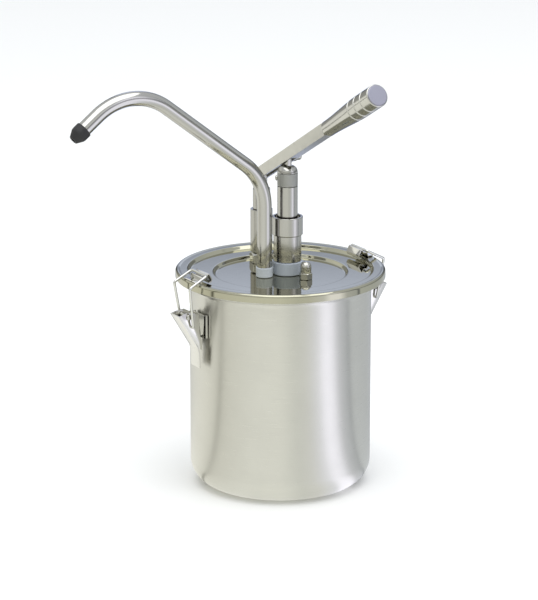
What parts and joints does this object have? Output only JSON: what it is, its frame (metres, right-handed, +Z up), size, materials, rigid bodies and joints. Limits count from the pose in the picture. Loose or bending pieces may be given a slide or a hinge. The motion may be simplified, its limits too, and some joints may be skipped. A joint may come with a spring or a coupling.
{
  "type": "condiment pump dispenser",
  "caption": "Round stainless sauce can with a clamped lid carrying a hand-lever piston pump and a bent delivery spout.",
  "frame": {"origin": "centre of the can's foot, on the surface that it stands on", "axes": "+Z up; -X is where the spout points, +X the opposite latch; -Y is the operator's side, where the lever's grip is, and +Y the lever post's side"},
  "size_m": [0.3906, 0.3, 0.4792],
  "materials": {
    "brushed_can": "satin, brushed around the can",
    "mirror_lid": "mirror polished",
    "satin_steel": "satin",
    "polished_steel": "polished",
    "knurled_steel": "fine knurl, matte",
    "matte_disc": "matte",
    "grey_plastic": "matte",
    "white_plastic": "matte",
    "seal_rubber": "matte",
    "black_rubber": "matte"
  },
  "bodies": {
    "root": {"can_shell": "brushed_can", "lid_shell": "mirror_lid", "lid_gasket": "seal_rubber", "head_plate": "satin_steel", "pump_collar": "grey_plastic", "pump_sleeve": "polished_steel", "gland_ring": "polished_steel", "guide_bush": "white_plastic", "pump_barrel": "satin_steel", "barrel_nut": "satin_steel", "spring_seat": "white_plastic", "foot_block": "satin_steel", "inlet_ball": "polished_steel", "outlet_ball": "polished_steel", "inlet_strainer": "white_plastic", "riser_tube": "satin_steel", "riser_coupling": "satin_steel", "spout_tube": "polished_steel", "spout_collar": "grey_plastic", "spout_nozzle": "black_rubber", "cap_nut_front": "polished_steel", "cap_nut_rear": "polished_steel", "head_stud_front": "satin_steel", "head_stud_rear": "satin_steel", "post_nut": "polished_steel", "post_bolt": "satin_steel", "post_tube": "polished_steel", "post_fork": "polished_steel", "return_spring": "satin_steel", "latch_bracket_left": "satin_steel", "latch_rivet_left": "polished_steel", "lid_keeper_left": "polished_steel", "latch_bracket_right": "satin_steel", "latch_rivet_right": "polished_steel", "lid_keeper_right": "polished_steel"},
    "lever": {"lever_bar": "satin_steel", "hand_grip": "polished_steel", "grip_disc": "matte_disc", "pivot_pin": "polished_steel"},
    "piston": {"piston_tube": "polished_steel", "knurled_band": "knurled_steel", "set_screw": "polished_steel", "dome_head": "polished_steel", "piston_rod": "polished_steel", "piston_head": "satin_steel", "piston_seal": "black_rubber", "lever_pin": "polished_steel"},
    "left_latch": {"latch_lever_left": "polished_steel"},
    "left_bail": {"latch_bail_left": "polished_steel"},
    "right_latch": {"latch_lever_right": "polished_steel"},
    "right_bail": {"latch_bail_right": "polished_steel"}
  },
  "joints": [
    {"name": "lever_press", "type": "hinge", "parent": "root", "child": "lever", "pos_m": [0.009, 0.0555, 0.3375], "axis": [1, 0, 0], "range_deg": [0, 32], "stiffness_Nm_per_rad": 6, "springref_deg": -25.78, "deforming": ["return_spring"]},
    {"name": "piston_stroke", "type": "slide", "parent": "root", "child": "piston", "axis": [0, 0, -1], "range_m": [0, 0.034]},
    {"name": "left_latch_swing", "type": "hinge", "parent": "root", "child": "left_latch", "pos_m": [-0.1215, 0, 0.207], "axis": [0, 1, 0], "range_deg": [0, 130]},
    {"name": "left_bail_swing", "type": "hinge", "parent": "left_latch", "child": "left_bail", "pos_m": [-0.118, 0, 0.1956], "axis": [0, 1, 0], "range_deg": [-131, 0]},
    {"name": "right_latch_swing", "type": "hinge", "parent": "root", "child": "right_latch", "pos_m": [0.1215, 0, 0.207], "axis": [0, -1, 0], "range_deg": [0, 130]},
    {"name": "right_bail_swing", "type": "hinge", "parent": "right_latch", "child": "right_bail", "pos_m": [0.118, 0, 0.1956], "axis": [0, -1, 0], "range_deg": [-131, 0]}
  ],
  "couplings": [
    {"joint": "piston_stroke", "follows": "lever_press", "m_per_rad": 0.0603},
    {"joint": "left_bail_swing", "follows": "left_latch_swing", "ratio": -1},
    {"joint": "right_bail_swing", "follows": "right_latch_swing", "ratio": -1}
  ]
}
